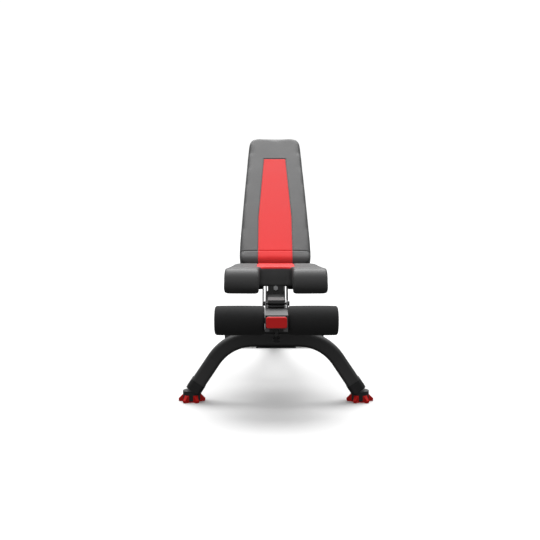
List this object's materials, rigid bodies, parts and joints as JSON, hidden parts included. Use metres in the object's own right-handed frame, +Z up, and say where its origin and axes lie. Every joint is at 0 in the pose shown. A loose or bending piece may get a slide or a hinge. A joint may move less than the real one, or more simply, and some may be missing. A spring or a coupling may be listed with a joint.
{
  "type": "adjustable weight bench",
  "caption": "Adjustable weight bench with a reclining back pad, fixed seat, foam leg rollers, arched front legs, a rear stabiliser and transport wheels.",
  "frame": {"origin": "on the floor under the middle of the bench's outline, back at 45 degrees", "axes": "+Z up, +X to the right seen from the nose, +Y from the nose cap to the wheels"},
  "size_m": [0.672, 1.4101, 1.0023],
  "materials": {
    "vinyl_black": "satin grained vinyl, grey-black",
    "vinyl_red": "satin grained vinyl, red",
    "foam_black": "matte closed-cell foam",
    "frame_black": "satin black powder coat",
    "brace_grey": "satin dark grey powder coat",
    "steel_bright": "zinc plated",
    "plastic_black": "moulded, fine texture",
    "plastic_red": "moulded, satin",
    "rubber_red": "moulded rubber",
    "tyre_black": "solid rubber tyre",
    "plywood": "raw plywood under the covers"
  },
  "bodies": {
    "frame": {"front_arch": "frame_black", "crown_plate": "frame_black", "crown_bolts": "frame_black", "riser": "frame_black", "main_beam": "frame_black", "nose_cap": "plastic_red", "brace_hook": "frame_black", "boot_left": "plastic_black", "boot_right": "plastic_black", "front_foot_left": "rubber_red", "front_foot_right": "rubber_red", "seat_foam": "vinyl_black", "seat_board": "plywood", "seat_bracket": "frame_black", "seat_screws": "steel_bright", "bracket_bolt": "steel_bright", "hinge_plates": "frame_black", "hinge_shaft": "steel_bright", "hinge_spacers": "plastic_black", "lock_bracket": "frame_black", "lock_housing": "steel_bright", "rear_stabiliser": "frame_black", "end_cap_left": "plastic_black", "end_cap_right": "plastic_black", "rear_foot_left": "rubber_red", "rear_foot_right": "rubber_red", "wheel_forks": "frame_black", "wheel_bolts": "steel_bright"},
    "back": {"back_foam": "vinyl_black", "back_board": "plywood", "back_rails": "frame_black", "hinge_bushes": "plastic_black", "sector_plates": "frame_black", "back_cross_plates": "frame_black", "back_screws": "steel_bright", "rail_spreader": "frame_black"},
    "lock_pull": {"lock_pin": "steel_bright", "lock_knob": "plastic_black"},
    "leg_hold": {"leg_brace": "brace_grey", "brace_cross_bolt": "frame_black", "roller_axles": "steel_bright", "roller_screws": "steel_bright", "brace_pin_housing": "frame_black"},
    "brace_pull": {"brace_pin": "frame_black", "brace_knob": "plastic_black"},
    "roller_left": {"roller_core_left": "plastic_black", "roller_foam_left": "foam_black"},
    "roller_right": {"roller_core_right": "plastic_black", "roller_foam_right": "foam_black"},
    "wheel_left": {"wheel_hub_left": "plastic_black", "wheel_tyre_left": "tyre_black"},
    "wheel_right": {"wheel_hub_right": "plastic_black", "wheel_tyre_right": "tyre_black"}
  },
  "joints": [
    {"name": "back_recline", "type": "hinge", "parent": "frame", "child": "back", "pos_m": [0, -0.09, 0.38], "axis": [1, 0, 0], "range_deg": [-55, 45]},
    {"name": "back_lock_pull", "type": "slide", "parent": "frame", "child": "lock_pull", "axis": [-1, 0, 0], "range_m": [0, 0.016]},
    {"name": "leg_hold_slide", "type": "slide", "parent": "frame", "child": "leg_hold", "axis": [0, -0.9927, -0.1209], "range_m": [0, 0.075]},
    {"name": "brace_lock_pull", "type": "slide", "parent": "leg_hold", "child": "brace_pull", "axis": [0, -0.1209, 0.9927], "range_m": [0, 0.016]},
    {"name": "roller_left_turn", "type": "hinge", "parent": "leg_hold", "child": "roller_left", "pos_m": [-0.12, -0.635, 0.301], "axis": [1, 0, 0], "continuous": true},
    {"name": "roller_right_turn", "type": "hinge", "parent": "leg_hold", "child": "roller_right", "pos_m": [0.12, -0.635, 0.301], "axis": [1, 0, 0], "continuous": true},
    {"name": "wheel_left_turn", "type": "hinge", "parent": "frame", "child": "wheel_left", "pos_m": [-0.15, 0.677, 0.038], "axis": [1, 0, 0], "continuous": true},
    {"name": "wheel_right_turn", "type": "hinge", "parent": "frame", "child": "wheel_right", "pos_m": [0.15, 0.677, 0.038], "axis": [1, 0, 0], "continuous": true}
  ]
}
